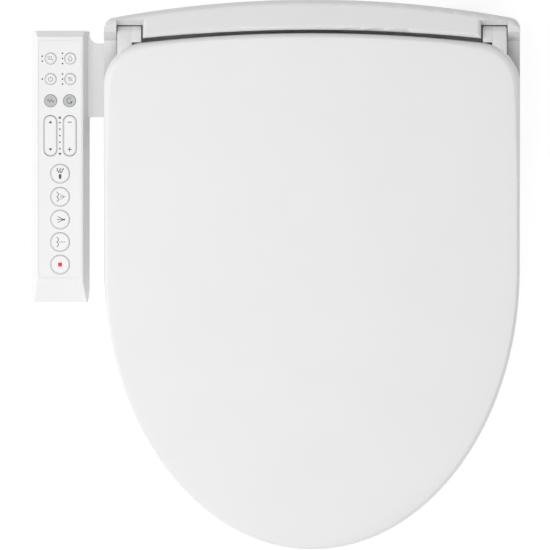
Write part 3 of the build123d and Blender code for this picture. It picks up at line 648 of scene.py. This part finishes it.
# ---- Seat ----------------------------------------------------------------------------------------
def build_seat_top(sizes):
    """The seat's upper shell: rounded at both edges and slightly dished between them."""
    dish = sizes.seat_dish / MM
    outer = seat_outline()
    angles = [math.atan2(y - OPENING_CENTRE_Y, x) for x, y in outer]
    loops = [[(x, y, joint_z(y) + SEAT_JOINT_GAP) for x, y in ring] for ring in (seat_outline(1.0), outer)]
    for k in range(1, 4):
        loops.append([(x, y, blend(joint_z(y), seat_z(SEAT_TOP, y) - SEAT_OUTER_R, k / 4)) for x, y in outer])
    for a in quarter(8):
        ring, drop = seat_outline(SEAT_OUTER_R * (1 - math.cos(a))), SEAT_OUTER_R * (1 - math.sin(a))
        loops.append([(x, y, seat_z(SEAT_TOP, y) - drop) for x, y in ring])
    edge = seat_outline(SEAT_OUTER_R)
    hole = [opening_point(angle, SEAT_INNER_R) for angle in angles]
    for k in range(1, 22):
        t = k / 22
        sink = dish * math.sin(math.pi * t) ** 1.5
        ring = [(blend(x, ox, t), blend(y, oy, t)) for (x, y), (ox, oy) in zip(edge, hole)]
        loops.append([(x, y, seat_z(SEAT_TOP, y) - sink) for x, y in ring])
    for a in quarter(8):
        inset, drop = SEAT_INNER_R * (1 - math.sin(a)), SEAT_INNER_R * (1 - math.cos(a))
        ring = [opening_point(angle, inset) for angle in angles]
        loops.append([(x, y, seat_z(SEAT_TOP, y) - drop) for x, y in ring])
    ring = [opening_point(angle, 0.0) for angle in angles]
    loops.append([(x, y, joint_z(y) + SEAT_JOINT_GAP) for x, y in ring])
    dress(new_piece("seat_upper_shell", *tube(loops)), "seat", SHELL, ["seat_top"], sharp=40)


def build_seat_arms():
    """The seat's two hinge arms, each with a round eye on the hinge line."""
    points = [(y, HINGE_Z + z) for y, z in SEAT_ARM]
    for sign, side in SIDES:
        xs = [sign * x for x in SEAT_KNUCKLE]
        bevelled_prism(f"seat_arm_{side}", points, xs, "seat", 0.7)
        chamfer = EYE_CHAMFER * sign
        profile = ((xs[0], EYE_BORE_R), (xs[0], EYE_R - EYE_CHAMFER), (xs[0] + chamfer, EYE_R))
        profile += ((xs[1] - chamfer, EYE_R), (xs[1], EYE_R - EYE_CHAMFER), (xs[1], EYE_BORE_R))
        loops = [[(x, r * math.cos(a), HINGE_Z + r * math.sin(a)) for a in full_turn(64)] for x, r in profile]
        dress(new_piece(f"seat_knuckle_{side}", *tube(loops)), "seat", SHELL, sharp=40)


# ---- Prints on the panel -------------------------------------------------------------------------
def stroke_outline(points, width, closed):
    """Left and right edges of a pen stroke through the points."""
    edges, n = [], len(points)
    for i, (x, y) in enumerate(points):
        before = points[(i - 1) % n] if closed or i else points[i]
        after = points[(i + 1) % n] if closed or i < n - 1 else points[i]
        dx, dy = after[0] - before[0], after[1] - before[1]
        size = math.hypot(dx, dy) or 1.0
        nx, ny = -dy / size * width / 2, dx / size * width / 2
        edges.append(((x + nx, y + ny), (x - nx, y - ny)))
    return edges


class Ink:
    """Collects flat printed shapes for one body and one colour."""

    def __init__(self, z):
        self.vertices, self.faces, self.z = [], [], z

    def stroke(self, points, width=PEN, closed=False):
        edges = stroke_outline(points, width, closed)
        n, start = len(edges), len(self.vertices)
        for left, right in edges:
            for z in (self.z, self.z + INK):
                self.vertices += [(*left, z), (*right, z)]
        for i in range(n if closed else n - 1):
            a, b = start + 4 * i, start + 4 * ((i + 1) % n)
            self.faces += [(a + 2, a + 3, b + 3, b + 2), (a, b, b + 1, a + 1)]
            self.faces += [(a, a + 2, b + 2, b), (a + 1, b + 1, b + 3, a + 3)]
        if not closed:
            for a in (start, start + 4 * (n - 1)):
                self.faces.append((a, a + 1, a + 3, a + 2))

    def patch(self, points):
        n, start = len(points), len(self.vertices)
        self.vertices += [(*p, z) for z in (self.z, self.z + INK) for p in points]
        self.faces += [tuple(start + i for i in reversed(range(n))), tuple(start + n + i for i in range(n))]
        for i in range(n):
            j = (i + 1) % n
            self.faces.append((start + i, start + j, start + n + j, start + n + i))

    def disc(self, x, y, r, sides):
        self.patch([(x + r * math.cos(t), y + r * math.sin(t)) for t in full_turn(sides)])

    def ring(self, x, y, r, width):
        self.stroke([(x + r * math.cos(t), y + r * math.sin(t)) for t in full_turn(72)], width, True)

    def print_on(self, name, colour, body):
        dress(new_piece(name, self.vertices, self.faces), body, colour, smooth=False)


def shares(n):
    """Numbers from 0 to 1 in n even steps."""
    return [i / n for i in range(n + 1)]


def arc(x, y, r, start, end, steps):
    """Points on a circle between two angles in degrees."""
    angles = [math.radians(start + (end - start) * t) for t in shares(steps)]
    return [(x + r * math.cos(a), y + r * math.sin(a)) for a in angles]


def wave(x, y, width, height, count):
    return [(x + width * (t - 0.5), y + height * math.sin(2 * math.pi * count * t)) for t in shares(18)]


def triangle(x, y, size, up):
    s = size if up else -size
    return [(x - s, y - 0.6 * s), (x + s, y - 0.6 * s), (x, y + 0.9 * s)]


def capsule(x, y, half_width, half_length):
    straight = half_length - half_width
    return arc(x, y + straight, half_width, 0, 180, 16) + arc(x, y - straight, half_width, 180, 360, 16)


def sign_dry(ink, x, y):
    """Three streams of warm air rising from an outlet."""
    for i in range(3):
        lean = 2.0 * (i - 1)
        stream = [(x + lean * (0.6 + t) + 0.3 * math.sin(9 * t), y + 0.6 + 4.6 * t) for t in shares(14)]
        ink.stroke(stream, 0.85)
    ink.patch([(x - 1.0, y - 5.0), (x + 1.0, y - 5.0), (x + 1.3, y - 0.6), (x - 1.3, y - 0.6)])


def body_curve(ink, x, y):
    """A seated outline, drawn sideways."""
    side = [2 * t - 1 for t in shares(36)]
    ink.stroke([(x - 3.2 + 1.7 * abs(math.sin(math.pi * t)) ** 0.8, y + 4.6 * t) for t in side], 0.6)


def sign_turbo(ink, x, y):
    """A wide fan of drops."""
    body_curve(ink, x, y)
    for row, spread in enumerate((0.0, 1.0, 1.9, 2.8)):
        for side in (-1, 0, 1) if row else (0,):
            ink.disc(x + 4.4 - 1.35 * row, y + side * spread * 0.8, 0.42, 12)


def sign_bidet(ink, x, y):
    """Three jets that open like a fan."""
    for lean in (-26, 0, 26):
        a = math.radians(180 + lean)
        ink.stroke([(x + 3.6 + r * math.cos(a), y + r * math.sin(a)) for r in (0.0, 3.0, 6.6)], 0.6)
    ink.disc(x + 4.0, y, 0.8, 16)


def sign_wash(ink, x, y):
    """A single row of drops."""
    body_curve(ink, x, y)
    for i in range(4):
        ink.disc(x + 4.4 - 1.5 * i, y, PEN, 12)


def sign_seat(ink, x, y):
    """A chair's outline with two strokes of warmth over it."""
    ink.stroke([(x - 2.4, y + 2.2), (x - 2.4, y - 0.8), (x + 2.2, y - 0.8), (x + 2.2, y - 2.4)])
    for i in range(2):
        ink.stroke([(x - 0.8 + 1.6 * i, y + 0.1 + 2.4 * t) for t in shares(3)], 0.4)


def sign_drop(ink, x, y):
    ink.stroke([(x, y + 2.8)] + arc(x, y - 0.6, 1.7, 30, -210, 16), PEN, True)


def sign_power(ink, x, y):
    ink.stroke(arc(x, y - 0.1, 2.0, 125, 415, 22))
    ink.stroke([(x, y + 0.3), (x, y + 2.6)])


def sign_air(ink, x, y):
    for i in range(3):
        ink.stroke(wave(x, y + 1.3 - 1.3 * i, 4.4, 0.4, 1.0), 0.4)


def sign_massage(ink, x, y):
    ink.stroke(wave(x, y, 6.0, 1.3, 2.0), 0.5)


def sign_oscillate(ink, x, y):
    """An open ring that ends in an arrow."""
    ink.stroke(arc(x, y, 2.6, 60, 330, 24), 0.5)
    ink.patch([(x + 1.6, y - 2.6), (x + 3.0, y - 0.2), (x + 0.4, y - 1.0)])


def sign_stop(ink, x, y):
    ink.patch([(x - 1.9, y - 1.9), (x + 1.9, y - 1.9), (x + 1.9, y + 1.9), (x - 1.9, y + 1.9)])


def sign_position(ink, x, y):
    ink.patch(triangle(x, y + ROCKER_SIGN_Y, 1.7, True))
    ink.patch(triangle(x, y - ROCKER_SIGN_Y, 1.7, False))


def sign_pressure(ink, x, y):
    """A minus at the rear end and a plus at the front end."""
    for end in (y + ROCKER_SIGN_Y, y - ROCKER_SIGN_Y):
        ink.stroke([(x - 1.9, end), (x + 1.9, end)], 0.7)
    ink.stroke([(x, y - ROCKER_SIGN_Y - 1.9), (x, y - ROCKER_SIGN_Y + 1.9)], 0.7)


SIGNS = {
    "key_dry": sign_dry,
    "key_turbo": sign_turbo,
    "key_bidet": sign_bidet,
    "key_wash": sign_wash,
    "key_stop": sign_stop,
    "key_seat_heat": sign_seat,
    "key_water_heat": sign_drop,
    "key_power": sign_power,
    "key_dryer_heat": sign_air,
    "key_massage": sign_massage,
    "key_oscillate": sign_oscillate,
    "position_rocker": sign_position,
    "pressure_rocker": sign_pressure,
}


def print_sign(key, x, y, body):
    ink = Ink(KEY_TOP)
    SIGNS[key](ink, x, y)
    name, colour = ("key_stop_square", "red") if key == "key_stop" else (f"{key}_sign", "print")
    ink.print_on(name, colour, body)


def build_key_prints():
    """Rings and signs on the keys. Each rides on its own key."""
    for keys, radius, width in ((ROUND_KEYS, LARGE_RING_R, PEN), (SMALL_KEYS, SMALL_RING_R, THIN_LINE)):
        for key, (x, y) in keys.items():
            ring = Ink(KEY_TOP)
            ring.ring(x, y, radius, width)
            ring.print_on(f"{key}_ring", "ring", f"{key}_cap")
            print_sign(key, x, y, f"{key}_cap")
    for key, (x, y) in DISC_KEYS.items():
        print_sign(key, x, y, f"{key}_cap")


def build_rocker_prints():
    """Borders and end signs of the two rocker keys."""
    for rocker, (x, y) in ROCKERS.items():
        ring = Ink(KEY_TOP)
        ring.stroke(capsule(x, y, ROCKER_HALF_WIDTH, ROCKER_HALF_LENGTH), THIN_LINE, True)
        ring.print_on(f"{rocker}_ring", "ring", rocker)
        print_sign(rocker, x, y, rocker)


def build_film_prints():
    """The two arrows of the level scale between the rockers, on the fixed film."""
    ink = Ink(FILM_TOP)
    for x, y, up in LEVEL_ARROWS:
        ink.patch(triangle(x, y, 1.6, up))
    ink.print_on("level_arrows", "print", "housing")


# ---- Stage ---------------------------------------------------------------------------------------
def area_light(name, size, energy, place):
    """A rectangular soft light that aims at the seat."""
    data = bpy.data.lights.new(name, "AREA")
    data.shape, data.size, data.size_y, data.energy = "RECTANGLE", *size, energy
    lamp = bpy.data.objects.new(name, data)
    lamp.location = place
    lamp.rotation_euler = (Vector(STAGE_CENTRE) - Vector(place)).to_track_quat("-Z", "Y").to_euler()
    bpy.context.collection.objects.link(lamp)


def build_floor():
    """A pale floor just under the seat, which glows a little so that it stays near white."""
    floor = Shader("pale_floor")
    tone = floor.mix(floor.noise(3.0), shade(WHITE, 0.44), shade(WHITE, 0.46))
    floor.set(Base_Color=tone, Roughness=0.9, Emission_Color=WHITE, Emission_Strength=FLOOR_GLOW)
    mesh = bpy.data.meshes.new("floor")
    corners = ((-1, -1), (1, -1), (1, 1), (-1, 1))
    mesh.from_pydata([(x * FLOOR_HALF, y * FLOOR_HALF, 0) for x, y in corners], [], [(0, 1, 2, 3)])
    mesh.materials.append(floor.material)
    ground = bpy.data.objects.new("floor", mesh)
    ground.location.z = -FLOOR_DROP
    bpy.context.collection.objects.link(ground)


def build_stage(look):
    """Floor, soft light all round, three softboxes and a camera that looks straight down."""
    build_floor()
    world = bpy.data.worlds.new("studio")
    world.use_nodes = True
    background = world.node_tree.nodes["Background"]
    background.inputs["Color"].default_value = (*WHITE, 1)
    background.inputs["Strength"].default_value = WORLD_STRENGTH
    bpy.context.scene.world = world
    for name, size, energy, place in SOFTBOXES:
        area_light(name, size, energy, place)
    data = bpy.data.cameras.new("camera")
    camera = bpy.data.objects.new("camera", data)
    x, y, z = STAGE_CENTRE
    camera.location = (x, y, z + look.camera_height)
    data.sensor_width = SENSOR_WIDTH
    data.lens = SENSOR_WIDTH * look.camera_height / look.view_width
    data.clip_end = CLIP_END
    bpy.context.collection.objects.link(camera)
    bpy.context.scene.camera = camera
    bpy.context.scene.view_settings.view_transform = "Standard"


# ---- Operators -----------------------------------------------------------------------------------
class BIDET_OT_finishes(bpy.types.Operator):
    """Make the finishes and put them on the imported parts"""

    bl_idname = "bidet.finishes"
    bl_label = "Finishes"

    def execute(self, context):
        make_finishes(context.scene.bidet_finish)
        dress_frame()
        return {"FINISHED"}


class BIDET_OT_lid(bpy.types.Operator):
    """Build the domed lid and its hinge arms"""

    bl_idname = "bidet.lid"
    bl_label = "Lid"

    def execute(self, context):
        build_lid(context.scene.bidet_shell)
        build_lid_arms()
        return {"FINISHED"}


class BIDET_OT_seat(bpy.types.Operator):
    """Build the seat's upper shell and its hinge arms"""

    bl_idname = "bidet.seat"
    bl_label = "Seat"

    def execute(self, context):
        build_seat_top(context.scene.bidet_shell)
        build_seat_arms()
        return {"FINISHED"}


class BIDET_OT_prints(bpy.types.Operator):
    """Print the rings and signs of the control panel"""

    bl_idname = "bidet.prints"
    bl_label = "Panel prints"

    def execute(self, context):
        build_key_prints()
        build_rocker_prints()
        build_film_prints()
        return {"FINISHED"}


class BIDET_OT_stage(bpy.types.Operator):
    """Set the floor, the lights and the camera"""

    bl_idname = "bidet.stage"
    bl_label = "Stage"

    def execute(self, context):
        build_stage(context.scene.bidet_stage)
        return {"FINISHED"}


class BIDET_PT_panel(bpy.types.Panel):
    """Lists the steps and their settings"""

    bl_idname = "BIDET_PT_panel"
    bl_label = "Bidet seat"
    bl_space_type = "VIEW_3D"
    bl_region_type = "UI"
    bl_category = "Bidet seat"

    def draw(self, context):
        for settings in (context.scene.bidet_shell, context.scene.bidet_finish, context.scene.bidet_stage):
            for name in settings.bl_rna.properties.keys():
                if name not in ("rna_type", "name"):
                    self.layout.prop(settings, name)
        for operator in OPERATORS:
            self.layout.operator(operator.bl_idname)


OPERATORS = (BIDET_OT_finishes, BIDET_OT_lid, BIDET_OT_seat, BIDET_OT_prints, BIDET_OT_stage)
CLASSES = (ShellSettings, FinishSettings, StageSettings, *OPERATORS, BIDET_PT_panel)


def register():
    for cls in CLASSES:
        bpy.utils.register_class(cls)
    bpy.types.Scene.bidet_shell = bpy.props.PointerProperty(type=ShellSettings)
    bpy.types.Scene.bidet_finish = bpy.props.PointerProperty(type=FinishSettings)
    bpy.types.Scene.bidet_stage = bpy.props.PointerProperty(type=StageSettings)


def unregister():
    del bpy.types.Scene.bidet_shell, bpy.types.Scene.bidet_finish, bpy.types.Scene.bidet_stage
    for cls in reversed(CLASSES):
        bpy.utils.unregister_class(cls)


def main():
    register()
    bpy.ops.bidet.finishes()
    bpy.ops.bidet.lid()
    bpy.ops.bidet.seat()
    bpy.ops.bidet.prints()
    bpy.ops.bidet.stage()


if __name__ == "__main__":
    main()
